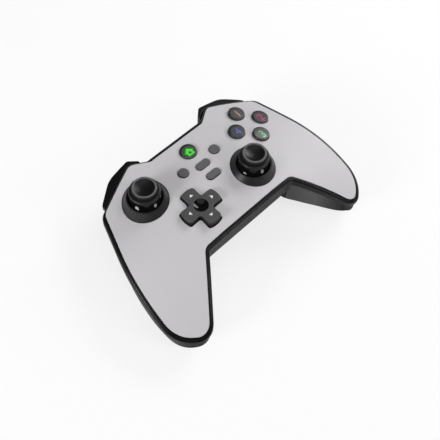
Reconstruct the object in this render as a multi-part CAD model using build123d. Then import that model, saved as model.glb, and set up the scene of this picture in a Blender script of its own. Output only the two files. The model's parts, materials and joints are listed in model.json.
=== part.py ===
from build123d import *
import os
from math import cos, hypot, pi, sin

os.makedirs("parts", exist_ok=True)

# A wireless gamepad. Every piece is modelled with the face plate level: X to the right,
# Y towards the triggers, Z up from the middle of the plate. The whole pad is then leaned
# back to the way it lies on a table, with the table top at Z = 0.

# Outline of the face plate, right half, seen from above
plateHalfWidth = 76.4
plateDepth = 99.2
notchShare = 0.3841                 # straight rear edge between the shoulders
frontShare = -0.2147                # straight front edge between the grips
outlineShares = [                   # corner x, corner y, corner radius
    (0.2670, 0.3841, 0.040),
    (0.4058, 0.4526, 0.050),
    (0.7853, 0.3317, 0.050),
    (0.9823, -0.0968, 1.420),
    (1.0000, -0.4315, 0.190),
    (0.8102, -0.5474, 0.070),
    (0.4516, -0.2147, 0.060),
]
cornerMinimum = 1.0

# The plate is flat in the middle and falls away to the sides and down the grips
flatHalfWidth = 19.0
flatFront = 9.5
sideFall = 14.56                    # at the widest point
frontFall = 19.7                    # at the tip of a grip
surfaceMargin = 16.0
surfaceRows = 10
surfaceColumns = 8
surfaceTolerance = 0.05

# Shells
plateThick = 1.5
seatGap = 0.05                      # between stacked skins
plateGap = 0.12                     # round the plate in its recess
skin = 2.0
rim = 2.4                           # shell outside the plate
rearRim = 1.4                       # the same beside the bumpers
rimRound = 1.6
skirt = 5.0                         # shell side below the rim
crease = 1.2                        # grip backs stand this far inside the rim
seam = 0.2
frontWallBottom = -16.0
rearWallBottom = -13.1
rearWallStart = 24.0                # y where the deep rear wall begins
centreHalfWidth = 33.0
wall = 2.0
workHeight = 60.0                   # reach of the cutting solids
overrun = 5.0

# Sticks
leftStick = (-39.4, 21.5)
rightStick = (21.2, -3.6)
pivotZ = -6.6
domeRadius = 12.2
domeWall = 1.3
domeEnd = 3.6                       # lower edge of the dome above the pivot
socketGap = 0.55
collarRadius = 13.43
collarTopRadius = 10.9
collarHole = 10.0
collarTop = 2.0
collarSink = 0.4
capTop = 11.8
capRadius = 7.2
capDish = 5.9
capDishDepth = 1.3
tierRadius = 8.95
tierTop = 9.0
tierThick = 2.4
tierEdge = 0.9
capEdge = 0.5
stemRadius = 4.0
shaftRadius = 1.9
yokeInner = 2.8
yokeOuter = 4.3
yokeThick = 2.4
carriageOuter = 5.4
carriageInner = 4.75
carriageUp = 1.8
carriageDown = 2.2
moduleHalf = 6.5
moduleWall = 0.8
moduleUp = 3.0
shaftOpening = 4.2
pinRadius = 0.8
runningGap = 0.05

# Direction pad
padCentre = (-20.3, -3.3)
padSpan = 25.0
padArm = 8.9
padTop = 1.5
padBottom = -5.4
padGap = 0.7
padCorner = 1.4
padEdge = 0.6
dishRadius = 4.3
dishDepth = 1.1
dishWall = 0.6
rockerHalf = 2.2
rockerPivotZ = -7.2
rockerHalfHeight = 1.2
earThick = 1.2
earGap = 0.2
lugHalf = 1.6
plungerRadius = 1.8
plungerReach = 8.5
plungerBottom = -8.6
plungerTravel = 0.7

# Buttons
clusterCentre = (41.5, 19.6)
clusterReach = 10.4
faceRadius = 5.1
homePlace = (0.0, 28.5)
roundPlace = (12.3, 19.5)
roundRadius = 3.2
pillLength = 9.5
pillWidth = 4.9
pillPlaces = [16.2, 7.4]
buttonGap = 0.25
buttonFlange = 0.9
buttonBottom = -9.9
homeBottom = -7.9                   # above the charging socket
faceProud = 1.9
homeProud = 1.1
smallProud = 0.8
buttonEdge = 0.6
smallEdge = 0.4
flangeGap = 0.15
buttonTravel = 1.2

# Boards and rubber
boardTop = -12.5
boardThick = 1.2
boardInset = 6.0
boardFront = -18.0
boardCover = 0.6                    # board to skin
rubberThick = 0.8
rubberDome = 2.4
rubberHalf = 15.4
padRubberHalf = 12.5
centreRubberHalf = 16.0
centreRubberFront = 4.0
centreRubberRear = 35.0
rubberGap = 0.4
pressGap = 0.15

# Grip backs: for each station the outer side, the bottom and the inner side
gripDepth = 45.0
gripReach = 56.0
gripProud = 1.4                     # grip backs wider than the plate
gripWidth = plateHalfWidth + gripProud
outerFullness = 2.6                 # superellipse powers of the two flanks
innerFullness = 1.6
quarterPoints = 3
gripStationShares = [               # y, outer x, outer z, bottom x, bottom z, inner x, inner z
    (0.643, 0.784, -0.356, 0.591, -0.600, 0.360, -0.500),
    (0.429, 0.836, -0.365, 0.621, -0.706, 0.360, -0.500),
    (0.214, 0.887, -0.384, 0.650, -0.805, 0.360, -0.496),
    (0.000, 0.937, -0.430, 0.679, -0.902, 0.364, -0.434),
    (-0.214, 0.976, -0.484, 0.712, -0.966, 0.377, -0.393),
    (-0.429, 1.000, -0.544, 0.750, -1.000, 0.435, -0.380),
    (-0.607, 1.000, -0.614, 0.780, -1.018, 0.548, -0.528),
    (-0.768, 0.983, -0.681, 0.799, -1.004, 0.651, -0.668),
    (-0.893, 0.924, -0.719, 0.818, -0.922, 0.719, -0.735),
    (-1.000, 0.848, -0.700, 0.810, -0.775, 0.771, -0.720),
]
gripRear = 33.5

# Centre tray under the pad
trayRear = 40.2
trayNose = -18.0
trayFloor = -28.5
trayHump = -36.2
trayHumpStart = 16.5
trayRound = 6.0
batteryLength = 46.0
batteryWidth = 14.0
batteryThick = 8.0
batteryY = 28.0
batteryRound = 1.6

# Shoulder frame, bumpers and triggers
frameTop = -13.2
frameThick = 1.4
frameInset = 5.2
frameEdge = 1.2                     # frame plate inside the bumper's outline
bumperShares = [                    # corner x, corner y as shares of the plate, radius
    (0.268, 0.4264, 0.020),
    (0.378, 0.5050, 0.025),
    (0.582, 0.4845, 0.150),
    (0.750, 0.3960, 0.120),
    (0.815, 0.3075, 0.020),
]
bumperInner = 24.0
bumperDrop = 3.0
bumperBottom = -12.8
bumperGap = 1.1
bumperPin = (27.6, 47.4)
bumperPinRadius = 1.0
switchPlace = (42.0, 44.2)
switchSize = (5.0, 2.4, 2.0)
switchRoom = 1.0
triggerInner = 35.0
triggerOuter = 54.0
bumperReach = 3.0                   # bumper past the trigger
bumperOuter = triggerOuter + bumperReach
triggerPivot = (36.5, -17.4)
triggerHub = 2.4
triggerReach = 16.5
triggerDrop = 14.6
triggerShares = [                   # y and z of the profile's corners, rounding
    (0.00, 0.16, 0.00),
    (1.00, 0.16, 0.14),
    (1.00, -0.16, 0.20),
    (0.82, -0.64, 0.45),
    (0.64, -0.86, 0.16),
    (0.74, -1.00, 0.03),
    (0.56, -1.00, 0.04),
    (0.42, -0.74, 0.20),
    (0.16, -0.40, 0.20),
    (0.00, -0.16, 0.00),
]
triggerTrim = 0.8
triggerPinRadius = 1.2
earReach = 2.6
earSpace = 0.4
springLength = 3.0
springRadius = 2.2

# Rumble motors, socket, light and screws
motorPlace = (56.0, -12.0, -29.5)
motorRadius = 6.1
motorLength = 15.0
weightRadius = 8.6
weightThick = 6.0
weightGap = 0.8
motorShaft = 1.0
cradleThick = 2.0
socketSize = (9.0, 7.4, 3.2)
socketWall = 0.35
socketGapRound = 0.25
tongueShare = 1.7                   # board under the socket, in socket widths
lightSize = (2.4, 2.4, 0.8)
postRadius = 3.2
bossRadius = 2.6
pilotRadius = 1.1
threadRadius = 1.04
headRadius = 2.2
headThick = 1.5
headBore = 2.6
shankHole = 1.4
casePlaces = [(60.0, -35.0, -29.0), (58.5, 27.0, -21.0)]
centrePlace = (0.0, -14.5, -21.0)
boardPlaces = [(-20.0, 31.0), (21.0, 31.0), (38.5, -9.0), (-42.0, -2.0)]

# Rest on the table
restTilt = 9.0
restHeight = 40.7                   # middle of the plate above the table
restShift = 4.72                    # puts the origin under the middle of the pad


def bar(x0, x1, y0, y1, z0, z1):
    centre = Pos((x0 + x1) / 2, (y0 + y1) / 2, (z0 + z1) / 2)
    return centre * Box(x1 - x0, y1 - y0, z1 - z0)


def rod(place, radius, z0, z1):
    return Pos(place[0], place[1], (z0 + z1) / 2) * Cylinder(radius, z1 - z0)


def rodX(y, z, radius, x0, x1):
    return Pos((x0 + x1) / 2, y, z) * Rot(0, 90, 0) * Cylinder(radius, x1 - x0)


def rodY(x, z, radius, y0, y1):
    return Pos(x, (y0 + y1) / 2, z) * Rot(90, 0, 0) * Cylinder(radius, y1 - y0)


def ball(place, z, radius):
    return Pos(place[0], place[1], z) * Sphere(radius)


def column(face, z0, z1):
    return extrude(Pos(0, 0, z0) * face, amount=z1 - z0, dir=(0, 0, 1))


def mirrored(shape):
    return mirror(shape, Plane.YZ)


# The face plate's outline, grown by one amount or by one amount for each edge
def plan(growth):
    steps = growth if isinstance(growth, list) else [growth] * (len(outlineShares) + 1)
    corners = [(0, notchShare * plateDepth)]
    corners += [(x * plateHalfWidth, y * plateDepth) for x, y, _ in outlineShares]
    corners += [(0, frontShare * plateDepth)]
    lines = []
    for start, end, step in zip(corners, corners[1:], steps):
        length = hypot(end[0] - start[0], end[1] - start[1])
        along = ((end[0] - start[0]) / length, (end[1] - start[1]) / length)
        lines.append((start[0] - along[1] * step, start[1] + along[0] * step, along))
    points = []
    radii = []
    for number, (_, _, radius) in enumerate(outlineShares):
        px, py, a = lines[number]
        qx, qy, b = lines[number + 1]
        turn = a[0] * b[1] - a[1] * b[0]
        reach = ((qx - px) * b[1] - (qy - py) * b[0]) / turn
        points.append((px + a[0] * reach, py + a[1] * reach))
        change = min(steps[number], steps[number + 1])
        grown = radius * plateDepth + (change if turn < 0 else -change)
        radii.append(max(grown, cornerMinimum))
    points += [(-x, y) for x, y in reversed(points)]
    radii += list(reversed(radii))
    return make_face(FilletPolyline(*points, radius=radii, close=True))


def rimGrowth(extra):
    growth = [rim, rearRim, rearRim, rim, rim, rim, rim, rim]
    return [step + extra for step in growth]


def plateFall(x, y):
    side = max(0, abs(x) - flatHalfWidth) / (plateHalfWidth - flatHalfWidth)
    tipY = plateDepth * outlineShares[5][1]
    front = max(0, flatFront - y) / (flatFront - tipY)
    return sideFall * side ** 2 + frontFall * front ** 2


def plateSurface():
    spanX = plateHalfWidth + surfaceMargin
    rear = plateDepth * outlineShares[1][1] + surfaceMargin
    front = plateDepth * outlineShares[5][1] - surfaceMargin
    rows = []
    for i in range(surfaceRows + 1):
        x = spanX * (2 * i / surfaceRows - 1)
        row = []
        for j in range(surfaceColumns + 1):
            y = front + (rear - front) * j / surfaceColumns
            row.append(Vector(x, y, -plateFall(x, y)))
        rows.append(row)
    return Face.make_surface_from_array_of_points(rows, tol=surfaceTolerance)


surface = plateSurface()


def under(rise):
    return Solid.extrude(Pos(0, 0, rise) * surface, Vector(0, 0, -workHeight))


def band(high, low):
    return Solid.extrude(Pos(0, 0, high) * surface, Vector(0, 0, low - high))


# Shapes of the holes and the buttons that fill them
def crossFace(grow):
    long = padSpan + 2 * grow
    short = padArm + 2 * grow
    shape = (Rectangle(long, short) + Rectangle(short, long)) & Circle(long / 2)
    shape = fillet(shape.vertices(), padCorner)
    return Pos(*padCentre) * shape


def discFace(place, radius):
    return Pos(*place) * Circle(radius)


def pillFace(y, grow):
    return Pos(0, y) * SlotOverall(pillLength + 2 * grow, pillWidth + 2 * grow)


def clusterPlaces():
    x, y = clusterCentre
    places = {"top": (x, y + clusterReach), "right": (x + clusterReach, y)}
    places["bottom"] = (x, y - clusterReach)
    places["left"] = (x - clusterReach, y)
    return places


def buttonFaces(grow):
    faces = {"button_" + name: discFace(place, faceRadius + grow)
             for name, place in clusterPlaces().items()}
    faces["home_button"] = discFace(homePlace, faceRadius + grow)
    faces["round_button_right"] = discFace(roundPlace, roundRadius + grow)
    faces["round_button_left"] = discFace((-roundPlace[0], roundPlace[1]), roundRadius + grow)
    faces["pill_button_upper"] = pillFace(pillPlaces[0], grow)
    faces["pill_button_lower"] = pillFace(pillPlaces[1], grow)
    return faces


def holeFaces(grow, stickRadius):
    faces = list(buttonFaces(grow).values())
    faces.append(crossFace(padGap + grow - buttonGap))
    faces += [discFace(place, stickRadius) for place in (leftStick, rightStick)]
    return faces


# Outer shells
def facePlate():
    sheet = plan(0) - holeFaces(buttonGap, collarRadius + plateGap)
    return column(sheet, -workHeight, overrun) & band(0, -plateThick)


def casePosts():
    posts = list(casePlaces) + [(-x, y, low) for x, y, low in casePlaces]
    return posts + [centrePlace]


def socketMiddle():
    return boardTop + socketSize[2] / 2


# A slot-shaped bar through the rear wall, for the charging socket and its opening
def socketSlot(grow, start, end):
    width, _, height = socketSize
    rear = Plane(origin=(0, end, socketMiddle()), x_dir=(1, 0, 0), z_dir=(0, -1, 0))
    return extrude(rear * SlotOverall(width + 2 * grow, height + 2 * grow), amount=end - start)


def frontShell():
    edge = column(plan(rimGrowth(0)), -workHeight / 2, overrun) & under(0)
    edge = fillet(edge.faces().sort_by(Axis.Z)[-1].edges(), rimRound)
    edge -= column(plan(plateGap), -workHeight, overrun)
    below = under(-skirt)
    wide = plateHalfWidth + overrun
    below -= bar(-wide, wide, rearWallStart, plateDepth, rearWallBottom, overrun)
    below -= bar(-centreHalfWidth, centreHalfWidth, -plateDepth, pillPlaces[1],
                 frontWallBottom, overrun)
    edge = edge - below
    floor = -(plateThick + seatGap)
    socketHole = domeRadius + socketGap + plateGap
    sheet = plan(rimGrowth(-rim / 2)) - holeFaces(buttonGap + seatGap, socketHole)
    deck = column(sheet, -workHeight, overrun) & band(floor, floor - skin)
    bosses = [rod(place, bossRadius, boardTop, 0) for place in boardPlaces]
    bosses += [rod((x, y), postRadius, low, 0) for x, y, low in casePosts()]
    bores = [rod(place, pilotRadius, boardTop - overrun, boardTop + postRadius)
             for place in boardPlaces]
    bores += [rod((x, y), pilotRadius, low - overrun, low + postRadius)
              for x, y, low in casePosts()]
    pillars = Part() + bosses - bores
    pillars = pillars & under(floor - skin / 2)
    shell = edge + deck + pillars
    return shell - socketSlot(socketGapRound, rearWallStart, plateDepth)


def gripSection(station, inset):
    y, outerX, outerZ, bottomX, bottomZ, innerX, innerZ = station
    y *= gripReach
    outerX = outerX * gripWidth - inset
    innerX = innerX * gripWidth + inset
    bottomX *= gripWidth
    bottomZ = bottomZ * gripDepth + inset
    outerZ *= gripDepth
    innerZ *= gripDepth
    points = []
    flanks = ((outerX, outerZ, outerFullness, range(quarterPoints + 1)),
              (innerX, innerZ, innerFullness, range(quarterPoints - 1, -1, -1)))
    for side, top, fullness, steps in flanks:
        for step in steps:
            turn = pi / 2 * step / quarterPoints
            across = cos(turn) ** (2 / fullness)
            down = sin(turn) ** (2 / fullness)
            points.append((bottomX + (side - bottomX) * across, y, top + (bottomZ - top) * down))
    belly = Spline(*points, tangents=[(0, 0, -1), (0, 0, 1)])
    lid = Polyline((innerX, y, innerZ), (innerX, y, overrun), (outerX, y, overrun),
                   (outerX, y, outerZ))
    return make_face(Wire([*belly.edges(), *lid.edges()]))


def gripHull(inset):
    return loft([gripSection(station, inset) for station in gripStationShares])


# Space of a grip back, as seen from above, cut off at the tray and behind the trigger
def gripFace(inset, rear):
    low = centreHalfWidth + seam
    window = Rectangle(plateDepth, 2 * plateDepth)
    window = Pos(low + plateDepth / 2, rear - plateDepth) * window
    return plan(inset) & window


def gripBack():
    top = under(-skirt - seam)
    top -= bar(0, plateDepth, rearWallStart - seam, plateDepth,
               frameTop - frameThick - seatGap, overrun)
    outer = column(gripFace(crease, gripRear), -workHeight, overrun) & top & gripHull(0)
    hollow = column(gripFace(crease - wall, gripRear - wall), -workHeight, overrun)
    hollow -= bar(-plateDepth, centreHalfWidth, -plateDepth, plateDepth, -workHeight, overrun)
    hollow = hollow & gripHull(wall)
    x, y, z = motorPlace
    kept = [rod((px, py), postRadius, -workHeight, low - seam) for px, py, low in casePlaces]
    for place in (y - motorLength / 2 + cradleThick, y + motorLength / 2 - cradleThick):
        rib = bar(x - motorRadius, x + motorRadius, place - cradleThick / 2,
                  place + cradleThick / 2, -workHeight, z - motorRadius / 2)
        kept.append(rib - rodY(x, z, motorRadius + runningGap, y - motorLength, y + motorLength))
    back = outer - (hollow - kept)
    for px, py, low in casePlaces:
        back -= rod((px, py), postRadius + seam, low - seam, overrun)
        back -= rod((px, py), headBore, -workHeight, low - seam - wall)
        back -= rod((px, py), shankHole, -workHeight, low)
    return back


def trayProfile():
    front = frontShare * plateDepth - crease
    points = [(front, frontWallBottom - seam), (front, trayNose),
              (front + overrun, trayNose - overrun), (-flatFront, trayFloor),
              (flatFront, trayFloor), (trayHumpStart, trayHump), (trayRear, trayHump),
              (trayRear, rearWallBottom - seam)]
    radii = [0, rim, overrun, trayRound, trayRound, trayRound, trayRound, 0]
    return make_face(FilletPolyline(*points, radius=radii, close=True))


def acrossX(face, x0, x1):
    side = Plane(origin=(x0, 0, 0), x_dir=(0, 1, 0), z_dir=(1, 0, 0))
    return extrude(side * face, amount=x1 - x0)


def rearTray():
    profile = trayProfile()
    half = centreHalfWidth
    outer = acrossX(profile, -half, half)
    inner = acrossX(offset(profile, -wall), wall - half, half - wall)
    x, y, low = centrePlace
    post = rod((x, y), postRadius, -workHeight, low - seam)
    hollow = inner + Pos(0, 0, 2 * wall) * inner
    tray = outer - (hollow - post)
    tray -= rod((x, y), postRadius + seam, low - seam, overrun)
    tray -= bar(-half, half, -plateDepth, trayRear - wall, boardTop - boardThick - seam, overrun)
    for edge in (-half, bumperInner - seam):
        tray -= bar(edge, edge + half - bumperInner + seam, rearWallStart, plateDepth,
                    frameTop - frameThick - seatGap, overrun)
    tray -= rod((x, y), headBore, -workHeight, low - seam - wall)
    return tray - rod((x, y), shankHole, -workHeight, low)


def battery():
    low = trayHump + wall
    cell = bar(-batteryLength / 2, batteryLength / 2, batteryY - batteryWidth / 2,
               batteryY + batteryWidth / 2, low, low + batteryThick)
    return fillet(cell.edges().filter_by(Axis.X), batteryRound)


# One stick: the collar on the plate, the cap on its dome, and the press-and-tilt module
def stickCollar(place):
    x, y = place
    step = runningGap
    slopeX = (plateFall(x + step, y) - plateFall(x - step, y)) / (2 * step)
    slopeY = (plateFall(x, y + step) - plateFall(x, y - step)) / (2 * step)
    level = -plateFall(x, y) - 2 * collarSink
    base = Plane(origin=(x, y, level), z_dir=(slopeX, slopeY, 1)) * Circle(collarRadius)
    cone = loft([base, Pos(x, y, collarTop) * Circle(collarTopRadius)])
    foot = rod(place, collarRadius, -workHeight / 2, overrun) & band(0, -plateThick)
    collar = cone + foot - rod(place, collarHole, pivotZ, capTop)
    return collar - ball(place, pivotZ, domeRadius + socketGap)


def stickDome(place):
    top = pivotZ + domeRadius - capEdge
    dome = ball(place, pivotZ, domeRadius) - ball(place, pivotZ, domeRadius - domeWall)
    dome &= rod(place, domeRadius, pivotZ + domeEnd, top)
    return dome - rod(place, shaftRadius + runningGap, pivotZ, capTop)


def stickCap(place):
    low = pivotZ + domeRadius - capEdge
    tier = rod(place, tierRadius, tierTop - tierThick, tierTop)
    tier = fillet(tier.edges().filter_by(GeomType.CIRCLE), tierEdge)
    crown = rod(place, capRadius, tierTop - tierThick / 2, capTop)
    crown = fillet(crown.edges().sort_by(Axis.Z)[-1], capEdge)
    bend = (capDish ** 2 + capDishDepth ** 2) / (2 * capDishDepth)
    cap = tier + crown + rod(place, stemRadius - capEdge, low, tierTop)
    cap -= ball(place, capTop - capDishDepth + bend, bend)
    return cap - rod(place, shaftRadius + runningGap, pivotZ, tierTop - capEdge)


def stickShaft(place):
    x, y = place
    shaft = rod(place, shaftRadius, pivotZ - yokeThick, tierTop - capEdge - runningGap)
    return shaft + rodY(x, pivotZ, pinRadius, y - yokeOuter + capEdge, y + yokeOuter - capEdge)


def stickYoke(place):
    x, y = place
    low = pivotZ - yokeThick / 2
    ring = rod(place, yokeOuter, low, low + yokeThick)
    pins = rodX(y, pivotZ, pinRadius, x - carriageOuter, x + carriageOuter)
    ring = ring + pins - rod(place, yokeInner, pivotZ - overrun, pivotZ + overrun)
    return ring - rodY(x, pivotZ, pinRadius + runningGap, y - yokeOuter, y + yokeOuter)


def stickCarriage(place):
    x, y = place
    low, high = pivotZ - carriageDown, pivotZ + carriageUp
    outer, inner = carriageOuter, carriageInner
    frame = bar(x - outer, x + outer, y - outer, y + outer, low, high)
    frame -= bar(x - inner, x + inner, y - inner, y + inner, low, high)
    return frame - rodX(y, pivotZ, pinRadius + runningGap, x - outer, x + outer)


def stickModule(place):
    x, y = place
    top = pivotZ + moduleUp
    half, inner = moduleHalf, moduleHalf - moduleWall
    case = bar(x - half, x + half, y - half, y + half, boardTop, top)
    case -= bar(x - inner, x + inner, y - inner, y + inner, boardTop + moduleWall,
                top - moduleWall)
    return case - rod(place, shaftOpening, pivotZ, top)


# Direction pad on a two-way rocker
def padDish():
    low = padTop - dishDepth - dishWall
    bend = (dishRadius ** 2 + dishDepth ** 2) / (2 * dishDepth)
    disc = rod(padCentre, dishRadius, low, padTop)
    return disc - ball(padCentre, padTop - dishDepth + bend, bend)


def padPlaces():
    x, y = padCentre
    return [(x + plungerReach, y), (x - plungerReach, y), (x, y + plungerReach),
            (x, y - plungerReach)]


def padCross():
    x, y = padCentre
    cross = column(crossFace(0), padBottom, padTop)
    cross = fillet(cross.faces().sort_by(Axis.Z)[-1].edges(), padEdge)
    cross -= rod(padCentre, dishRadius + runningGap, padTop - dishDepth - dishWall, capTop)
    cross = cross + [rod(place, plungerRadius, plungerBottom, padBottom) for place in padPlaces()]
    near, far = rockerHalf + earGap, rockerHalf + earGap + earThick
    low = rockerPivotZ - rockerHalfHeight - earGap
    for side in (-1, 1):
        edges = sorted((y + side * near, y + side * far))
        cross += bar(x - lugHalf, x + lugHalf, *edges, low, padBottom)
    return cross - rodY(x, rockerPivotZ, pinRadius + runningGap, y - far, y + far)


def padRocker():
    x, y = padCentre
    half, high = rockerHalf, rockerHalfHeight
    far = rockerHalf + earGap + earThick
    block = bar(x - half, x + half, y - half, y + half, rockerPivotZ - high, rockerPivotZ + high)
    block += rodX(y, rockerPivotZ, pinRadius, x - far, x + far)
    return block + rodY(x, rockerPivotZ, pinRadius, y - far, y + far)


def padBracket():
    x, y = padCentre
    near, far = rockerHalf + earGap, rockerHalf + earGap + earThick
    bracket = bar(x - far, x + far, y - lugHalf, y + lugHalf, boardTop, boardTop + rubberThick)
    for side in (-1, 1):
        edges = sorted((x + side * near, x + side * far))
        bracket += bar(*edges, y - lugHalf, y + lugHalf, boardTop, rockerPivotZ + rockerHalfHeight)
    return bracket - rodX(y, rockerPivotZ, pinRadius + runningGap, x - far, x + far)


# Push buttons: the top follows the plate, the flange is caught under the shell
def pushButton(face, flange, proud, edge, bottom):
    button = column(face, bottom, overrun) & under(proud)
    button = fillet(button.faces().sort_by(Axis.Z)[-1].edges(), edge)
    below = -(plateThick + seatGap + skin + flangeGap)
    return button + (column(flange, bottom, 0) & under(below))


def pushButtons():
    buttons = {}
    flanges = buttonFaces(buttonFlange)
    for name, face in buttonFaces(0).items():
        proud, edge, bottom = smallProud, smallEdge, buttonBottom
        if name == "home_button":
            proud, bottom = homeProud, homeBottom
        elif name in ("button_top", "button_right", "button_bottom", "button_left"):
            proud, edge = faceProud, buttonEdge
        buttons[name] = pushButton(face, flanges[name], proud, edge, bottom)
    return buttons


# Boards and rubber sheets
def screwBoard():
    window = Pos(0, plateDepth + boardFront) * Rectangle(2 * plateDepth, 2 * plateDepth)
    outline = plan(-boardInset) & window
    rear = notchShare * plateDepth
    width = socketSize[0] * tongueShare
    outline += Pos(0, rear - boardInset) * Rectangle(width, 2 * (boardInset - capEdge))
    holes = [discFace((x, y), postRadius + rubberGap) for x, y, _ in casePosts()]
    holes += [discFace(place, shankHole) for place in boardPlaces]
    board = column(outline - holes, boardTop - boardThick, boardTop)
    return board & under(-(plateThick + seatGap + skin + boardCover))


def rubberSheet(centre, halfX, halfY, places, domeTop):
    x, y = centre
    low, high = boardTop, boardTop + rubberThick
    sheet = bar(x - halfX, x + halfX, y - halfY, y + halfY, low, high)
    sheet = sheet + [rod(place, rubberDome, low, domeTop) for place in places]
    kept = [rod((px, py), postRadius + rubberGap, low, high) for px, py, _ in casePosts()]
    return (sheet & column(plan(-boardInset), boardTop, pivotZ)) - kept


def buttonRubber():
    top = buttonBottom - buttonTravel - pressGap
    return rubberSheet(clusterCentre, rubberHalf, rubberHalf, clusterPlaces().values(), top)


def padRubber():
    x, y = padCentre
    top = plungerBottom - plungerTravel - pressGap
    sheet = rubberSheet(padCentre, padRubberHalf, padRubberHalf, padPlaces(), top)
    far = rockerHalf + earGap + earThick + rubberGap
    return sheet - bar(x - far, x + far, y - far, y + far, boardTop, pivotZ)


def centreRubber():
    top = buttonBottom - buttonTravel - pressGap
    middle = (centreRubberFront + centreRubberRear) / 2
    places = [roundPlace, (-roundPlace[0], roundPlace[1])] + [(0, y) for y in pillPlaces]
    sheet = rubberSheet((0, middle), centreRubberHalf, centreRubberRear - middle, places, top)
    x, y = padCentre
    half = padRubberHalf + rubberGap
    sheet -= bar(x - half, x + half, y - half, y + half, boardTop, pivotZ)
    return sheet - rod(homePlace, 2 * lightSize[0], boardTop, pivotZ)


def homeLight():
    x, y = homePlace
    wide, deep, high = lightSize
    return bar(x - wide / 2, x + wide / 2, y - deep / 2, y + deep / 2, boardTop, boardTop + high)


def chargeSocket():
    width, deep, _ = socketSize
    rear = notchShare * plateDepth + rim - seatGap
    sleeve = socketSlot(0, rear - deep, rear) - socketSlot(-socketWall, rear - deep + wall, rear)
    tongue = bar(-width / 3, width / 3, rear - deep + wall / 2, rear - wall,
                 socketMiddle() - socketWall, socketMiddle() + socketWall)
    return sleeve + tongue


# Shoulders: a frame plate under each bumper carries the bumper and trigger hinges
def bumperFace():
    points = [(x * plateHalfWidth, y * plateDepth) for x, y, _ in bumperShares]
    radii = [radius * plateDepth for _, _, radius in bumperShares]
    points += [(points[-1][0], rearWallStart), (points[0][0], rearWallStart)]
    return make_face(FilletPolyline(*points, radius=radii + [0, 0], close=True))


def bumperWindow(grow):
    length = bumperOuter - bumperInner + 2 * grow
    middle = (bumperOuter + bumperInner) / 2
    return Pos(middle, plateDepth / 2) * Rectangle(length, plateDepth / 2)


def bumper():
    sheet = (bumperFace() & bumperWindow(0)) - plan(rimGrowth(bumperGap))
    body = column(sheet, bumperBottom, 0) & under(-bumperDrop)
    top = body.faces().sort_by(Axis.Z)[-1]
    low, high = bumperInner + seatGap, bumperOuter - seatGap
    sides = [edge for edge in top.edges() if low < edge.center().X < high]
    body = fillet(sides, bumperGap / 2)
    x, y = switchPlace
    wide, deep, high = [side / 2 + switchRoom for side in switchSize]
    body -= bar(x - wide, x + wide, y - deep, y + deep, bumperBottom, frameTop + 2 * high)
    return body - rod(bumperPin, bumperPinRadius + runningGap, bumperBottom, boardTop / 2)


def shoulderFrame():
    sheet = offset(bumperFace(), -frameEdge) & bumperWindow(0)
    sheet = sheet - plan(-frameInset)
    sheet -= [discFace((px, py), postRadius + seam) for px, py, _ in casePlaces]
    frame = column(sheet, frameTop - frameThick, frameTop)
    y, z = triggerPivot
    for inner in (triggerInner - earSpace - earThick, triggerOuter + earSpace):
        frame += bar(inner, inner + earThick, gripRear + earSpace, y + earReach, z - earReach,
                     frameTop - frameThick / 2)
    pinHole = triggerPinRadius + runningGap / 2
    return frame - rodX(y, z, pinHole, centreHalfWidth, triggerOuter + 2 * earReach)


def trigger():
    y, z = triggerPivot
    corners = [(y + a * triggerReach, z + b * triggerDrop) for a, b, _ in triggerShares]
    radii = [c * triggerDrop for _, _, c in triggerShares]
    profile = make_face(FilletPolyline(*corners, radius=radii, close=True))
    body = acrossX(profile, triggerInner, triggerOuter)
    body += rodX(y, z, triggerHub, triggerInner, triggerOuter)
    body &= column(offset(bumperFace(), -triggerTrim), -workHeight, 0)
    body += rodX(y, z, triggerHub, triggerInner, triggerOuter)
    body -= rodX(y, z, springRadius + earSpace, triggerInner, triggerInner + springLength + earSpace)
    return body - rodX(y, z, triggerPinRadius + runningGap, triggerInner, triggerOuter)


def triggerPin():
    return rodX(*triggerPivot, triggerPinRadius, triggerInner - earSpace - earThick,
                triggerOuter + earSpace + earThick)


def triggerSpring():
    start = triggerInner - earSpace + seatGap
    end = start + springLength
    y, z = triggerPivot
    return rodX(y, z, springRadius, start, end) - rodX(y, z, triggerPinRadius + runningGap,
                                                       start, end)


def bumperPinRod():
    return rod(bumperPin, bumperPinRadius, frameTop, boardTop / 2 - runningGap)


def bumperSwitch():
    x, y = switchPlace
    wide, deep, high = switchSize
    return bar(x - wide / 2, x + wide / 2, y - deep / 2, y + deep / 2, frameTop, frameTop + high)


# Rumble motors with their eccentric weights
def rumbleMotor():
    x, y, z = motorPlace
    start, end = y - motorLength / 2, y + motorLength / 2
    return rodY(x, z, motorRadius, start, end) - rodY(x, z, motorShaft + runningGap, start, y)


def rumbleWeight():
    x, y, z = motorPlace
    near = y - motorLength / 2 - weightGap
    disc = rodY(x, z, weightRadius, near - weightThick, near)
    disc &= bar(x - weightRadius, x + weightRadius, near - weightThick, near, z - weightRadius, z)
    disc += rodY(x, z, 2 * motorShaft, near - weightThick, near)
    return disc + rodY(x, z, motorShaft, near - weightThick, y - seatGap)


def screws():
    solids = []
    for x, y, low in casePosts():
        seat = low - seam - wall
        solids.append(rod((x, y), headRadius, seat - headThick, seat)
                      + rod((x, y), threadRadius, seat, low + postRadius - seam))
    under_board = boardTop - boardThick
    for place in boardPlaces:
        solids.append(rod(place, headRadius, under_board - headThick, under_board)
                      + rod(place, threadRadius, under_board, boardTop + postRadius - seam))
    return solids


def atRest(shape):
    return Pos(0, restShift, restHeight) * Rot(-restTilt, 0, 0) * shape


# What touches the table is cut flat where it stands
def standing(shape):
    table = Box(3 * plateDepth, 3 * plateDepth, plateDepth)
    return atRest(shape) - Pos(0, 0, -plateDepth / 2) * table


def save(name, *shapes):
    solids = [solid for shape in shapes for solid in shape.solids()]
    whole = solids[0] if len(solids) == 1 else Compound(children=solids)
    export_step(whole, "parts/" + name + ".step")


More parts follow.
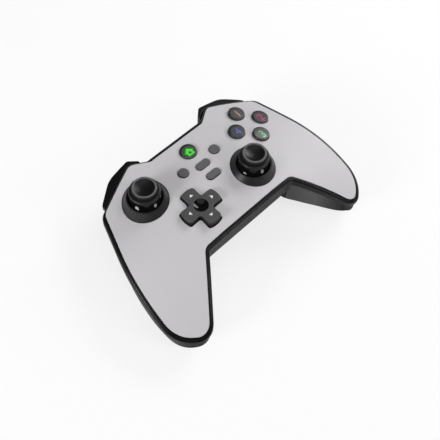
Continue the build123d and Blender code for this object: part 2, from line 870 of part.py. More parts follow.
def savePair(name, shape, finish=atRest):
    save(name + "_right", finish(shape))
    save(name + "_left", finish(mirrored(shape)))


save("face_plate", atRest(facePlate()))
save("front_shell", atRest(frontShell()))
save("rear_tray", standing(rearTray()))
savePair("grip_back", gripBack(), standing)
save("battery", atRest(battery()))
for side, place in (("left", leftStick), ("right", rightStick)):
    save("stick_collar_" + side, atRest(stickCollar(place)))
    save("stick_dome_" + side, atRest(stickDome(place)))
    save("stick_cap_" + side, atRest(stickCap(place)))
    save("stick_shaft_" + side, atRest(stickShaft(place)))
    save("stick_yoke_" + side, atRest(stickYoke(place)))
    save("stick_carriage_" + side, atRest(stickCarriage(place)))
    save("stick_module_" + side, atRest(stickModule(place)))
save("dpad_cross", atRest(padCross()))
save("dpad_dish", atRest(padDish()))
save("dpad_rocker", atRest(padRocker()))
save("dpad_bracket", atRest(padBracket()))
for name, button in pushButtons().items():
    save(name, atRest(button))
save("main_board", atRest(screwBoard()))
save("rubber_buttons", atRest(buttonRubber()))
save("rubber_dpad", atRest(padRubber()))
save("rubber_centre", atRest(centreRubber()))
save("home_light", atRest(homeLight()))
save("charge_socket", atRest(chargeSocket()))
savePair("bumper", bumper())
savePair("trigger", trigger())
savePair("shoulder_frame", shoulderFrame())
savePair("trigger_spring", triggerSpring())
for name, maker in (("trigger_pins", triggerPin), ("bumper_pins", bumperPinRod),
                    ("bumper_switches", bumperSwitch)):
    save(name, atRest(maker()), atRest(mirrored(maker())))
savePair("rumble_motor", rumbleMotor())
savePair("rumble_weight", rumbleWeight())
save("screws", *[atRest(screw) for screw in screws()])
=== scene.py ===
import json
from math import cos, pi, radians, sin

import bmesh
import bpy
from mathutils import Matrix, Vector
from mathutils.bvhtree import BVHTree


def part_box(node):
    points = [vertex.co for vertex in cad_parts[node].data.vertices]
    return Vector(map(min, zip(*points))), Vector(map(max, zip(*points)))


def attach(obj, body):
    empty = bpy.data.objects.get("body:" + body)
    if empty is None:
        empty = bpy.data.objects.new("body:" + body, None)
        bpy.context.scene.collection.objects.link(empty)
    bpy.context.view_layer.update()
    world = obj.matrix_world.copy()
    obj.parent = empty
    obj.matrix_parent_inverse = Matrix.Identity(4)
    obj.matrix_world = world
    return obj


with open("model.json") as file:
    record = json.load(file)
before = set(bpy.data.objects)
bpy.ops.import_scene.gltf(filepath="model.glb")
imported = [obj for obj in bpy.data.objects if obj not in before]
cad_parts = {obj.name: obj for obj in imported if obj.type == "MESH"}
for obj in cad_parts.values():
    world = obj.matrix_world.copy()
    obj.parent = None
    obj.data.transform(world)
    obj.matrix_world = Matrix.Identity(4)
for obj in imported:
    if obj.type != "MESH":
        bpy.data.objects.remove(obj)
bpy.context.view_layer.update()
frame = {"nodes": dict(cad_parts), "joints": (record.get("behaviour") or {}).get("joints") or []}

joints = {joint["name"]: joint for joint in frame["joints"]}
plateUp = -Vector(joints["home_button_press"]["axis"])      # the plate leans back a little
plateRear = Vector(joints["stick_left_hinge"]["axis"])
plateRight = Vector((1, 0, 0))
millimetre = 0.001
padPivot = (-20.3, -3.3, -7.2)                              # on the plate, in millimetres


def offPlate(x, y, z):
    return (plateRight * x + plateRear * y + plateUp * z) * millimetre


plateMiddle = Vector(joints["dpad_hinge"]["pos_m"]) - offPlate(*padPivot)
print("frame loaded:", len(frame["nodes"]), "nodes")


def plateTurn(centre):
    turn = Matrix((plateRight, plateRear, plateUp)).transposed().to_4x4()
    return Matrix.Translation(centre) @ turn


def middleOf(node):
    low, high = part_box(node)
    return (low + high) / 2


def topOf(node):
    middle = middleOf(node)
    return Vector((middle.x, middle.y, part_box(node)[1].z))


colourSockets, colourOut = (6, 7), 2                        # the mix node's colour sockets
noiseSpan = (0.3, 0.7)                                      # where most noise values lie


# Small helpers for the material graphs
def newMaterial(name, colour, roughness, **settings):
    material = bpy.data.materials.new(name)
    material.use_nodes = True
    material.diffuse_color = (*colour, 1)
    shader = material.node_tree.nodes["Principled BSDF"]
    shader.inputs["Base Color"].default_value = (*colour, 1)
    shader.inputs["Roughness"].default_value = roughness
    for socket, value in settings.items():
        shader.inputs[socket.replace("_", " ")].default_value = value
    return material, shader


def addNode(material, kind, links=None, **values):
    node = material.node_tree.nodes.new(kind)
    for name, value in values.items():
        if hasattr(node, name):
            setattr(node, name, value)
        else:
            node.inputs[name].default_value = value
    for name, source in (links or {}).items():
        material.node_tree.links.new(source, node.inputs[name])
    return node


def objectPlace(material):
    return addNode(material, "ShaderNodeTexCoord").outputs["Object"]


def mixColour(material, factor, low, high):
    ramp = addNode(material, "ShaderNodeMix", data_type="RGBA")
    material.node_tree.links.new(factor, ramp.inputs["Factor"])
    for number, colour in zip(colourSockets, (low, high)):
        if isinstance(colour, bpy.types.NodeSocket):
            material.node_tree.links.new(colour, ramp.inputs[number])
        else:
            ramp.inputs[number].default_value = (*colour, 1)
    return ramp.outputs[colourOut]


def rangeOf(material, value, fromLow, fromHigh, toLow, toHigh):
    span = addNode(material, "ShaderNodeMapRange", {"Value": value})
    for name, number in (("From Min", fromLow), ("From Max", fromHigh),
                         ("To Min", toLow), ("To Max", toHigh)):
        span.inputs[name].default_value = number
    return span.outputs[0]


def noise(material, place, scale, detail=3.0):
    made = addNode(material, "ShaderNodeTexNoise", {"Vector": place})
    made.inputs["Scale"].default_value = scale
    made.inputs["Detail"].default_value = detail
    return made.outputs[0]


def bump(material, shader, height, strength, depth, under=None):
    links = {"Height": height}
    if under is not None:
        links["Normal"] = under
    made = addNode(material, "ShaderNodeBump", links)
    made.inputs["Strength"].default_value = strength
    made.inputs["Distance"].default_value = depth * millimetre
    material.node_tree.links.new(made.outputs[0], shader.inputs["Normal"])
    return made.outputs[0]


def unevenGloss(material, shader, pattern, look):
    low, high = look["roughness"] - look["glossier"], look["roughness"] + look["duller"]
    material.node_tree.links.new(rangeOf(material, pattern, *noiseSpan, low, high),
                                 shader.inputs["Roughness"])


def darker(colour, shade):
    return [part * (1 - shade) for part in colour]


# How far a point lies from the plate's middle in one direction, in millimetres
def wayFromMiddle(material, place, direction):
    along = addNode(material, "ShaderNodeVectorMath", {0: place}, operation="DOT_PRODUCT")
    along.inputs[1].default_value = direction / millimetre
    level = addNode(material, "ShaderNodeMath", {0: along.outputs["Value"]}, operation="SUBTRACT")
    level.inputs[1].default_value = plateMiddle.dot(direction) / millimetre
    return level.outputs[0]


# Painted shade: the tint turns dark towards the low end of a band along one direction
def darkEnd(material, place, direction, tint, dark, band):
    level = rangeOf(material, wayFromMiddle(material, place, direction), *band, 1.0, 0.0)
    return mixColour(material, level, tint, dark)


# Distance from an axis that stands on the plate, in millimetres
def axisDistance(material, place, spot):
    away = addNode(material, "ShaderNodeVectorMath", {0: place}, operation="SUBTRACT")
    away.inputs[1].default_value = spot
    sides = []
    for direction in (plateRight, plateRear):
        side = addNode(material, "ShaderNodeVectorMath", {0: away.outputs[0]},
                       operation="DOT_PRODUCT")
        side.inputs[1].default_value = direction / millimetre
        square = addNode(material, "ShaderNodeMath", {0: side.outputs["Value"]}, operation="POWER")
        square.inputs[1].default_value = 2
        sides.append(square.outputs[0])
    total = addNode(material, "ShaderNodeMath", {0: sides[0], 1: sides[1]}, operation="ADD")
    root = addNode(material, "ShaderNodeMath", {0: total.outputs[0]}, operation="SQRT")
    return root.outputs[0]


plasticLook = {"coat": 0.0, "coatRoughness": 0.05, "shine": 0.5, "shade": 0.06,
               "driftScale": 60.0, "patchScale": 300.0, "glossier": 0.05, "duller": 0.05,
               "grain": 0.3, "grainScale": 4000.0, "grainDepth": 0.05, "grainDetail": 2.0}


# A moulded plastic: slow shade drift, fine grain in the relief, uneven gloss
def mouldedPlastic(name, look):
    look = {**plasticLook, **look}
    material, shader = newMaterial(name, look["colour"], look["roughness"],
                                   Coat_Weight=look["coat"],
                                   Coat_Roughness=look["coatRoughness"],
                                   Specular_IOR_Level=look["shine"])
    place = objectPlace(material)
    drift = noise(material, place, look["driftScale"])
    light = darker(look["colour"], -look["shade"])
    tint = mixColour(material, drift, darker(look["colour"], look["shade"]), light)
    # painted shade: the tint turns dark below the top's edge
    if "skirt" in look:                                     # darker below the top's edge
        tint = darkEnd(material, place, plateUp, tint, look["skirt"], look["skirtBand"])
    # painted shade: the tint turns dark towards the grip's end
    if "tip" in look:                                       # darker towards the grip's end
        tint = darkEnd(material, place, plateRear, tint, look["tip"], look["tipBand"])
    material.node_tree.links.new(tint, shader.inputs["Base Color"])
    unevenGloss(material, shader, noise(material, place, look["patchScale"]), look)
    grain = noise(material, place, look["grainScale"], look["grainDetail"])
    relief = bump(material, shader, grain, look["grain"], look["grainDepth"])
    return material, shader, place, relief


plateLook = {"colour": (0.565, 0.552, 0.572), "roughness": 0.46, "shade": 0.02, "grain": 0.25,
             "grainScale": 5200.0, "grainDepth": 0.03}
# the rim gets painted shade below its top's edge
rimLook = {"colour": (0.012, 0.0118, 0.0123), "roughness": 0.34, "shade": 0.12, "grain": 0.3,
           "grainScale": 4200.0, "grainDepth": 0.03, "shine": 0.22,
           "skirt": (0.0025, 0.0025, 0.0027), "skirtBand": (-4.0, -1.2)}
# the grips get painted shade towards their ends
gripLook = {"colour": (0.1, 0.1, 0.101), "roughness": 0.5, "shade": 0.1, "grain": 0.35,
            "grainScale": 3000.0, "shine": 0.12, "dotPitch": 2.5, "dotRadius": 0.55,
            "dotFade": 1.6, "dotDepth": 0.2, "dotStrength": 0.6,
            "tip": (0.004, 0.004, 0.0045), "tipBand": (-50.0, -36.0)}
trayLook = {"colour": (0.008, 0.008, 0.0085), "roughness": 0.48, "grainScale": 3000.0,
            "shine": 0.08}
collarLook = {"colour": (0.013, 0.0127, 0.0132), "roughness": 0.36, "shade": 0.1, "shine": 0.4}
domeLook = {"colour": (0.0012, 0.0012, 0.0014), "roughness": 0.09, "grain": 0.0, "shine": 0.25,
            "glossier": 0.03, "duller": 0.03}
# the caps carry a painted highlight ring and painted shade in their wells
capLook = {"colour": (0.01, 0.01, 0.0105), "roughness": 0.36, "shade": 0.15, "grain": 0.4,
           "grainScale": 2600.0, "shine": 0.3, "ring": (0.13, 0.128, 0.13), "highlightRingRadius": 6.4,
           "highlightRingHalf": 0.36, "paintedWellShade": (0.0025, 0.0025, 0.0028)}
# the cross gets painted shade on its sides below the top
crossLook = {"colour": (0.058, 0.056, 0.058), "roughness": 0.5, "shade": 0.08, "grain": 0.45,
             "grainScale": 2200.0, "grainDepth": 0.06, "skirt": (0.006, 0.006, 0.006),
             "skirtBand": (0.85, 1.25)}
dishLook = {"colour": (0.0012, 0.0012, 0.0014), "roughness": 0.08, "grain": 0.0, "shine": 0.25,
            "glossier": 0.02, "duller": 0.02}
# the small buttons get painted shade below their tops
smallLook = {"colour": (0.105, 0.101, 0.106), "roughness": 0.5, "shade": 0.05, "grain": 0.4,
             "grainScale": 2600.0, "skirt": (0.02, 0.02, 0.02), "skirtBand": (0.4, 0.72)}
triggerLook = {"colour": (0.014, 0.014, 0.015), "roughness": 0.34, "shade": 0.12}
innerLook = {"colour": (0.045, 0.045, 0.048), "roughness": 0.55}
whiteLook = {"colour": (0.62, 0.61, 0.58), "roughness": 0.5}
rubberLook = {"colour": (0.22, 0.22, 0.235), "roughness": 0.75, "grain": 0.5}
cellLook = {"colour": (0.45, 0.47, 0.5), "roughness": 0.3, "shade": 0.1}
recessLook = {"colour": (0.012, 0.012, 0.013), "roughness": 0.6}


def gripPlastic(name, look):
    material, shader, place, relief = mouldedPlastic(name, look)
    cells = addNode(material, "ShaderNodeTexVoronoi", {"Vector": place}, feature="F1")
    cells.inputs["Scale"].default_value = 1 / (look["dotPitch"] * millimetre)
    cells.inputs["Randomness"].default_value = 0.0
    dotShare = look["dotRadius"] / look["dotPitch"]
    dots = rangeOf(material, cells.outputs["Distance"], dotShare, dotShare * look["dotFade"],
                   1.0, 0.0)
    bump(material, shader, dots, look["dotStrength"], look["dotDepth"], relief)
    return material


# A stick cap: a painted highlight ring round a well darkened with painted shade
def capRubber(name, look, spot):
    material, shader, place, _ = mouldedPlastic(name, look)
    reach = axisDistance(material, place, spot)
    low, high = look["highlightRingRadius"] - look["highlightRingHalf"], look["highlightRingRadius"] + look["highlightRingHalf"]
    paintedWellShade = rangeOf(material, reach, low - look["highlightRingHalf"], low, 1.0, 0.0)
    rise = rangeOf(material, reach, low - look["highlightRingHalf"], low, 0.0, 1.0)
    fall = rangeOf(material, reach, high, high + look["highlightRingHalf"] / 2, 1.0, 0.0)
    ring = addNode(material, "ShaderNodeMath", {0: rise, 1: fall}, operation="MULTIPLY")
    tint = mixColour(material, paintedWellShade, look["colour"], look["paintedWellShade"])
    tint = mixColour(material, ring.outputs[0], tint, look["ring"])
    material.node_tree.links.new(tint, shader.inputs["Base Color"])
    return material


steelLook = {"colour": (0.52, 0.52, 0.53), "roughness": 0.32, "shade": 0.15, "stretch": 14,
             "lineScale": 900.0, "glossier": 0.08, "duller": 0.1}
goldLook = {**steelLook, "colour": (0.75, 0.5, 0.16), "roughness": 0.28}


def brushedSteel(name, look):
    material, shader = newMaterial(name, look["colour"], look["roughness"], Metallic=1.0)
    stretch = addNode(material, "ShaderNodeMapping", {"Vector": objectPlace(material)})
    stretch.inputs["Scale"].default_value = (1, 1, look["stretch"])
    lines = noise(material, stretch.outputs[0], look["lineScale"])
    unevenGloss(material, shader, lines, look)
    tint = mixColour(material, lines, darker(look["colour"], look["shade"]), look["colour"])
    material.node_tree.links.new(tint, shader.inputs["Base Color"])
    return material


boardLook = {"colour": (0.008, 0.09, 0.03), "copper": (0.02, 0.17, 0.05), "roughness": 0.35,
             "trackSpan": 8.8}


def boardLacquer(name, look):
    material, shader = newMaterial(name, look["colour"], look["roughness"])
    tracks = addNode(material, "ShaderNodeTexBrick", {"Vector": objectPlace(material)})
    tracks.inputs["Scale"].default_value = 1 / (look["trackSpan"] * millimetre)
    for socket, colour in (("Color1", "colour"), ("Color2", "colour"), ("Mortar", "copper")):
        tracks.inputs[socket].default_value = (*look[colour], 1)
    material.node_tree.links.new(tracks.outputs[0], shader.inputs["Base Color"])
    return material


# The face buttons: clear-coated dark domes, with a painted sheen tinted by each mark in the middle
# and painted shade at the brim
faceLook = {"colour": (0.05, 0.048, 0.05), "roughness": 0.34, "coat": 0.12, "paintedLight": 3.4,
            "paintedLightShare": 0.3, "brim": 4.1, "brimWidth": 0.8, "brimShadeColour": (0.006, 0.006, 0.0065)}
markColours = {"button_top": (0.48, 0.31, 0.26), "button_right": (0.45, 0.06, 0.16),
               "button_bottom": (0.18, 0.5, 0.18), "button_left": (0.11, 0.13, 0.36)}
paintedLightColours = {"button_top": (0.085, 0.06, 0.052), "button_right": (0.13, 0.035, 0.06),
               "button_bottom": (0.035, 0.1, 0.04), "button_left": (0.036, 0.038, 0.09)}
# the home button gets a painted green glow round its house and painted shade at the brim
homeLook = {"colour": (0.05, 0.055, 0.052), "roughness": 0.34, "coat": 0.1, "paintedLight": 4.4,
            "paintedLightShare": 0.4, "paintedLightColour": (0.05, 0.16, 0.04), "brim": 4.5, "brimWidth": 0.7,
            "brimShadeColour": (0.01, 0.012, 0.01)}


# painted light in the middle, tinted by the mark, and painted shade at the brim
def hazedButton(name, look, paintedLight, spot):
    material, shader, place, _ = mouldedPlastic(name, look)
    reach = axisDistance(material, place, spot)
    fade = rangeOf(material, reach, look["paintedLight"] * look["paintedLightShare"], look["paintedLight"], 1.0, 0.0)
    brim = rangeOf(material, reach, look["brim"], look["brim"] + look["brimWidth"], 0.0, 1.0)
    colour = mixColour(material, fade, look["colour"], paintedLight)
    colour = mixColour(material, brim, colour, look["brimShadeColour"])
    material.node_tree.links.new(colour, shader.inputs["Base Color"])
    return material


litLook = {"roughness": 0.35, "coat": 0.6, "shade": 0.18}
lensLook = {"colour": (0.3, 0.9, 0.25), "glow": 1.0, "grainScale": 900.0}


def litMark(name, look):
    look = {**litLook, **look}
    material, shader = newMaterial(name, look["colour"], look["roughness"],
                                   Coat_Weight=look["coat"])
    drift = noise(material, objectPlace(material), look["grainScale"])
    tint = mixColour(material, drift, darker(look["colour"], look["shade"]), look["colour"])
    for socket in ("Base Color", "Emission Color"):
        material.node_tree.links.new(tint, shader.inputs[socket])
    shader.inputs["Emission Strength"].default_value = look["glow"]
    return material


plate = mouldedPlastic("plateSatin", plateLook)[0]
rim = mouldedPlastic("rimBlack", rimLook)[0]
grip = gripPlastic("gripDotted", gripLook)
tray = mouldedPlastic("trayGrained", trayLook)[0]
collar = mouldedPlastic("collarSatin", collarLook)[0]
dome = mouldedPlastic("domeGloss", domeLook)[0]
caps = {side: capRubber("cap" + side.capitalize(), capLook,
                        Vector(joints["stick_" + side + "_hinge"]["pos_m"]))
        for side in ("left", "right")}
cross = mouldedPlastic("crossGrained", crossLook)[0]
dish = mouldedPlastic("dishGloss", dishLook)[0]
small = mouldedPlastic("smallButtonSatin", smallLook)[0]
trigger = mouldedPlastic("triggerSatin", triggerLook)[0]
inner = mouldedPlastic("innerPlastic", innerLook)[0]
white = mouldedPlastic("naturalPlastic", whiteLook)[0]
rubber = mouldedPlastic("sheetRubber", rubberLook)[0]
cell = mouldedPlastic("cellWrap", cellLook)[0]
steel = brushedSteel("brushedSteel", steelLook)
board = boardLacquer("boardLacquer", boardLook)
lens = litMark("lampLens", lensLook)

dressing = [
    (plate, ["face_plate"]),
    (rim, ["front_shell", "bumper_left", "bumper_right"]),
    (grip, ["grip_back_left", "grip_back_right"]),
    (tray, ["rear_tray"]),
    (collar, ["stick_collar_left", "stick_collar_right"]),
    (dome, ["stick_dome_left", "stick_dome_right"]),
    (caps["left"], ["stick_cap_left"]),
    (caps["right"], ["stick_cap_right"]),
    (cross, ["dpad_cross"]),
    (dish, ["dpad_dish"]),
    (small, ["round_button_left", "round_button_right", "pill_button_upper",
             "pill_button_lower"]),
    (trigger, ["trigger_left", "trigger_right"]),
    (inner, ["shoulder_frame_left", "shoulder_frame_right", "stick_yoke_left",
             "stick_yoke_right", "bumper_switches"]),
    (white, ["stick_shaft_left", "stick_shaft_right", "stick_carriage_left",
             "stick_carriage_right", "dpad_rocker", "dpad_bracket"]),
    (rubber, ["rubber_buttons", "rubber_dpad", "rubber_centre"]),
    (cell, ["battery"]),
    (steel, ["stick_module_left", "stick_module_right", "trigger_spring_left",
             "trigger_spring_right", "rumble_motor_left", "rumble_motor_right",
             "rumble_weight_left", "rumble_weight_right", "charge_socket", "trigger_pins",
             "bumper_pins", "screws"]),
    (board, ["main_board"]),
    (lens, ["home_light"]),
]


def dress(node, material):
    slots = frame["nodes"][node].material_slots
    if not slots:
        frame["nodes"][node].data.materials.append(material)
    for slot in slots:
        slot.material = material


for material, names in dressing:
    for name in names:
        dress(name, material)
print("materials on")


layLook = {"cuts": 2, "drop": 20, "weld": 0.001}            # lengths in millimetres


# A flat mark is laid on a node's top by dropping each of its points along the plate's normal
def treeOf(node):
    mesh = frame["nodes"][node].data
    points = [vertex.co.copy() for vertex in mesh.vertices]
    return BVHTree.FromPolygons(points, [tuple(face.vertices) for face in mesh.polygons])


def layMark(name, body, node, outline, centre, material, look):
    mesh = outline.copy()
    made = bmesh.new()
    made.from_mesh(mesh)
    bmesh.ops.triangulate(made, faces=made.faces[:])
    long = [edge for edge in made.edges if edge.calc_length() > look["step"] * millimetre]
    bmesh.ops.subdivide_edges(made, edges=long, cuts=layLook["cuts"], use_grid_fill=False)
    bmesh.ops.triangulate(made, faces=made.faces[:])
    tree = treeOf(node)
    above = layLook["drop"] * millimetre
    turn = plateTurn(centre)
    for vertex in made.verts:
        start = turn @ Vector((vertex.co.x, vertex.co.y, above))
        hit, normal, _, _ = tree.ray_cast(start, -plateUp, 2 * above)
        vertex.co = hit + normal * look["proud"] * millimetre
    bmesh.ops.remove_doubles(made, verts=made.verts[:], dist=layLook["weld"] * millimetre)
    bmesh.ops.recalc_face_normals(made, faces=made.faces[:])
    if sum((face.normal * face.calc_area() for face in made.faces), Vector()).dot(plateUp) < 0:
        bmesh.ops.reverse_faces(made, faces=made.faces[:])
    made.to_mesh(mesh)
    made.free()
    mesh.materials.clear()
    mesh.materials.append(material)
    piece = bpy.data.objects.new(name, mesh)
    bpy.context.collection.objects.link(piece)
    thick = piece.modifiers.new("thick", "SOLIDIFY")
    thick.thickness = look["thick"] * millimetre
    thick.offset = -1
    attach(piece, body)


def meshOfText(words, look):
    curve = bpy.data.curves.new("words", "FONT")
    curve.body = words
    curve.size = look["size"] * millimetre
    curve.align_x = "CENTER"
    curve.align_y = "CENTER"
    curve.resolution_u = look["curveSteps"]
    holder = bpy.data.objects.new("words", curve)
    bpy.context.collection.objects.link(holder)
    bpy.context.view_layer.update()
    mesh = bpy.data.meshes.new_from_object(holder.evaluated_get(
        bpy.context.evaluated_depsgraph_get()))
    bpy.data.objects.remove(holder)
    return mesh


def meshOfOutline(points, hole=()):
    made = bmesh.new()
    rings = []
    for ring in (points, hole):
        verts = [made.verts.new((x * millimetre, y * millimetre, 0)) for x, y in ring]
        if verts:
            rings += [made.edges.new((a, b)) for a, b in zip(verts, verts[1:] + verts[:1])]
    bmesh.ops.triangle_fill(made, edges=rings, use_beauty=True)
    mesh = bpy.data.meshes.new("outline")
    made.to_mesh(mesh)
    made.free()
    return mesh


markLook = {"size": 7.6, "curveSteps": 4, "glow": 0.12, "grainScale": 800.0, "proud": 0.05,
            "thick": 0.12, "step": 0.8}
for number, (node, colour) in enumerate(markColours.items(), 1):
    top = topOf(node)
    dress(node, hazedButton("paintedLight" + str(number), faceLook, paintedLightColours[node], top))
    mark = litMark("number" + str(number), {**markLook, "colour": colour})
    layMark("number_" + str(number), node, node, meshOfText(str(number), markLook), top, mark,
            markLook)
print("numbers on the face buttons")

# A plain house on the home button, lit green
houseLook = {"roof": 3.1, "eaves": 3.2, "wallHalf": 2.15, "foot": -2.3, "eavesLevel": 0.2,
             "window": 0.8, "windowLevel": -0.35, "proud": 0.05, "thick": 0.12, "step": 0.7,
             "colour": (0.06, 0.62, 0.045), "glow": 0.35, "grainScale": 700.0}


def housePoints(look):
    wall, foot, level = look["wallHalf"], look["foot"], look["eavesLevel"]
    right = [(0, look["roof"]), (look["eaves"], level), (wall, level), (wall, foot)]
    return right + [(-x, y) for x, y in reversed(right[1:])]


def windowPoints(look):
    half, level = look["window"], look["windowLevel"]
    return [(-half, level - half), (-half, level + half), (half, level + half),
            (half, level - half)]


homeTop = topOf("home_button")
dress("home_button", hazedButton("paintedLightHome", homeLook, homeLook["paintedLightColour"], homeTop))
layMark("house_mark", "home_button", "home_button",
        meshOfOutline(housePoints(houseLook), windowPoints(houseLook)), homeTop,
        litMark("houseGreen", houseLook), houseLook)

# Four arrow heads on the direction pad, pointing outwards
arrowLook = {"count": 4, "reach": 7.6, "half": 1.25, "length": 1.5, "proud": 0.05, "thick": 0.1,
             "step": 0.8, "colour": (0.85, 0.85, 0.85), "glow": 0.12, "grainScale": 600.0}
arrowWhite = litMark("arrowWhite", arrowLook)
crossMiddle = middleOf("dpad_dish")
for number in range(arrowLook["count"]):
    turn = 2 * pi * number / arrowLook["count"]
    reach, half, length = arrowLook["reach"], arrowLook["half"], arrowLook["length"]
    flat = [(reach + length, 0), (reach, half), (reach, -half)]
    points = [(x * cos(turn) - y * sin(turn), x * sin(turn) + y * cos(turn)) for x, y in flat]
    layMark("arrow_" + str(number), "dpad", "dpad_cross", meshOfOutline(points), crossMiddle,
            arrowWhite, arrowLook)
print("marks on the home button and direction pad")


# Small bars repeated on points: screw recesses and socket contacts
def barGroup():
    group = bpy.data.node_groups.new("repeatedBars", "GeometryNodeTree")
    face = group.interface
    face.new_socket("Geometry", in_out="INPUT", socket_type="NodeSocketGeometry")
    for name in ("Length", "Width", "Depth"):
        face.new_socket(name, in_out="INPUT", socket_type="NodeSocketFloat")
    face.new_socket("Crossed", in_out="INPUT", socket_type="NodeSocketBool")
    face.new_socket("Turn", in_out="INPUT", socket_type="NodeSocketRotation")
    face.new_socket("Paint", in_out="INPUT", socket_type="NodeSocketMaterial")
    face.new_socket("Geometry", in_out="OUTPUT", socket_type="NodeSocketGeometry")
    new, link = group.nodes.new, group.links.new
    given, made = new("NodeGroupInput"), new("NodeGroupOutput")
    cubes = []
    for names in (("Length", "Width", "Depth"), ("Width", "Length", "Depth")):
        size, cube = new("ShaderNodeCombineXYZ"), new("GeometryNodeMeshCube")
        for number, name in enumerate(names):
            link(given.outputs[name], size.inputs[number])
        link(size.outputs[0], cube.inputs["Size"])
        cubes.append(cube.outputs["Mesh"])
    choose = new("GeometryNodeSwitch")
    choose.input_type = "GEOMETRY"
    link(given.outputs["Crossed"], choose.inputs["Switch"])
    link(cubes[1], choose.inputs["True"])
    joined, spread = new("GeometryNodeJoinGeometry"), new("GeometryNodeInstanceOnPoints")
    link(cubes[0], joined.inputs[0])
    link(choose.outputs[0], joined.inputs[0])
    link(given.outputs["Geometry"], spread.inputs["Points"])
    link(joined.outputs[0], spread.inputs["Instance"])
    link(given.outputs["Turn"], spread.inputs["Rotation"])
    real, paint = new("GeometryNodeRealizeInstances"), new("GeometryNodeSetMaterial")
    link(spread.outputs[0], real.inputs[0])
    link(real.outputs[0], paint.inputs["Geometry"])
    link(given.outputs["Paint"], paint.inputs["Material"])
    link(paint.outputs[0], made.inputs[0])
    return group


def barsOn(name, places, look, material):
    points = bpy.data.meshes.new(name + "Points")
    points.from_pydata([plateMiddle + offPlate(*place) for place in places], [], [])
    holder = bpy.data.objects.new(name + "Points", points)
    bpy.context.collection.objects.link(holder)
    nodes = holder.modifiers.new("bars", "NODES")
    nodes.node_group = barNodes
    wanted = {"Length": look["length"] * millimetre, "Width": look["width"] * millimetre,
              "Depth": look["depth"] * millimetre, "Crossed": look["crossed"],
              "Turn": plateTurn(Vector()).to_euler(), "Paint": material}
    for item in barNodes.interface.items_tree:
        if item.in_out == "INPUT" and item.name in wanted:
            nodes[item.identifier] = wanted[item.name]
    bpy.context.view_layer.update()
    mesh = bpy.data.meshes.new_from_object(holder.evaluated_get(
        bpy.context.evaluated_depsgraph_get()))
    bpy.data.objects.remove(holder)
    piece = bpy.data.objects.new(name, mesh)
    bpy.context.collection.objects.link(piece)
    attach(piece, "housing")


barNodes = barGroup()
# Places on the plate's axes, in millimetres
caseScrews = [(60.0, -35.0, -29.0), (-60.0, -35.0, -29.0), (58.5, 27.0, -21.0),
              (-58.5, 27.0, -21.0), (0.0, -14.5, -21.0)]
boardScrews = [(-20.0, 31.0), (21.0, 31.0), (38.5, -9.0), (-42.0, -2.0)]
screwLook = {"length": 2.6, "width": 0.55, "depth": 0.06, "crossed": True, "caseFace": -3.7,
             "boardFace": -15.2}
# the screw recesses are thin dark bars of painted shade on the screw heads
recess = mouldedPlastic("recessShade", recessLook)[0]
heads = [(x, y, z + screwLook["caseFace"]) for x, y, z in caseScrews]
heads += [(x, y, screwLook["boardFace"]) for x, y in boardScrews]
barsOn("screw_recesses", heads, screwLook, recess)

# Contacts on both sides of the charging socket's tongue
contactLook = {"length": 0.26, "width": 3.0, "depth": 0.06, "crossed": False, "count": 10,
               "pitch": 0.5, "rear": 36.6, "level": -10.9, "side": 0.36}
contacts = []
for number in range(contactLook["count"]):
    across = (number - (contactLook["count"] - 1) / 2) * contactLook["pitch"]
    for side in (-1, 1):
        contacts.append((across, contactLook["rear"],
                         contactLook["level"] + side * contactLook["side"]))
barsOn("socket_contacts", contacts, contactLook, brushedSteel("contactGold", goldLook))
print("screw recesses and socket contacts")

# The floor and the room's light
floorLook = {"half": 6.0, "colour": (0.94, 0.94, 0.94), "roughness": 0.9, "seen": 0.76}
floorMesh = bpy.data.meshes.new("floor")
half = floorLook["half"]
floorMesh.from_pydata([(-half, -half, 0), (half, -half, 0), (half, half, 0), (-half, half, 0)], [],
                      [(0, 1, 2, 3)])
floor = bpy.data.objects.new("floor", floorMesh)
bpy.context.collection.objects.link(floor)
floorPaint, floorShader = newMaterial("floorPaint", floorLook["colour"], floorLook["roughness"])
floorPath = addNode(floorPaint, "ShaderNodeLightPath")
floorSeen = addNode(floorPaint, "ShaderNodeMath", {0: floorPath.outputs["Is Camera Ray"]},
                    operation="MULTIPLY")
floorSeen.inputs[1].default_value = floorLook["seen"]
floorGlow = addNode(floorPaint, "ShaderNodeEmission", Strength=1.0)
floorMix = addNode(floorPaint, "ShaderNodeMixShader", {
    0: floorSeen.outputs[0], 1: floorShader.outputs[0], 2: floorGlow.outputs[0]})
floorSide = addNode(floorPaint, "ShaderNodeNewGeometry")
floorBelow = addNode(floorPaint, "ShaderNodeBsdfTransparent")
floorTwo = addNode(floorPaint, "ShaderNodeMixShader", {     # clear when it is seen from below
    0: floorSide.outputs["Backfacing"], 1: floorMix.outputs[0], 2: floorBelow.outputs[0]})
floorPaint.node_tree.links.new(floorTwo.outputs[0],
                               floorPaint.node_tree.nodes["Material Output"].inputs["Surface"])
floorMesh.materials.append(floorPaint)

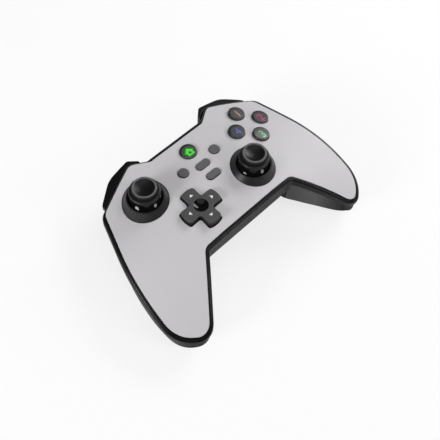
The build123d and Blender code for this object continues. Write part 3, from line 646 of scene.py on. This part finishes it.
world = bpy.data.worlds.new("studio")
bpy.context.scene.world = world
world.use_nodes = True
worldLook = {"strength": 0.13, "seen": 0.85}               # the camera sees a paler wall
backdrop = world.node_tree.nodes["Background"]
backdrop.inputs["Color"].default_value = (1, 1, 1, 1)
worldPath = world.node_tree.nodes.new("ShaderNodeLightPath")
worldSpan = world.node_tree.nodes.new("ShaderNodeMapRange")
worldSpan.inputs["To Min"].default_value = worldLook["strength"]
worldSpan.inputs["To Max"].default_value = worldLook["seen"]
world.node_tree.links.new(worldPath.outputs["Is Camera Ray"], worldSpan.inputs["Value"])
world.node_tree.links.new(worldSpan.outputs[0], backdrop.inputs["Strength"])

lampLook = [  # name, place, width, depth, watts
    ("key", (-1.007, 0.145, 0.447), 0.42, 0.3, 6.8),
    ("second", (0.365, -0.781, 0.713), 0.35, 0.3, 2.6),
    ("rear", (0.867, 0.12, 0.7), 0.8, 0.4, 6.0),
    ("top", (-0.2, -0.1, 1.5), 1.6, 1.6, 6.0),
    ("side", (1.0, 0.05, 0.12), 0.5, 0.3, 1.3),
]
lampAim = Vector((0, 0, 0.03))
for name, place, width, depth, watts in lampLook:
    light = bpy.data.lights.new(name, "AREA")
    light.shape = "ELLIPSE"
    light.size = width
    light.size_y = depth
    light.energy = watts
    holder = bpy.data.objects.new(name, light)
    holder.location = place
    holder.rotation_euler = (lampAim - Vector(place)).to_track_quat("-Z", "Y").to_euler()
    bpy.context.collection.objects.link(holder)
print("stage and lights")

cameraLook = {"place": (-0.163121, -0.085682, 0.389622), "turn": (23.6703, -8.5752, -44.1173),
              "lens": 56.9, "sensor": 36.0, "near": 0.01}
camera = bpy.data.cameras.new("photoCamera")
camera.lens = cameraLook["lens"]
camera.sensor_width = cameraLook["sensor"]
camera.sensor_fit = "HORIZONTAL"
camera.clip_start = cameraLook["near"]
cameraHolder = bpy.data.objects.new("photoCamera", camera)
cameraHolder.location = cameraLook["place"]
cameraHolder.rotation_euler = [radians(angle) for angle in cameraLook["turn"]]
bpy.context.collection.objects.link(cameraHolder)
bpy.context.scene.camera = cameraHolder
bpy.context.scene.view_settings.view_transform = "Standard"

print("ready")
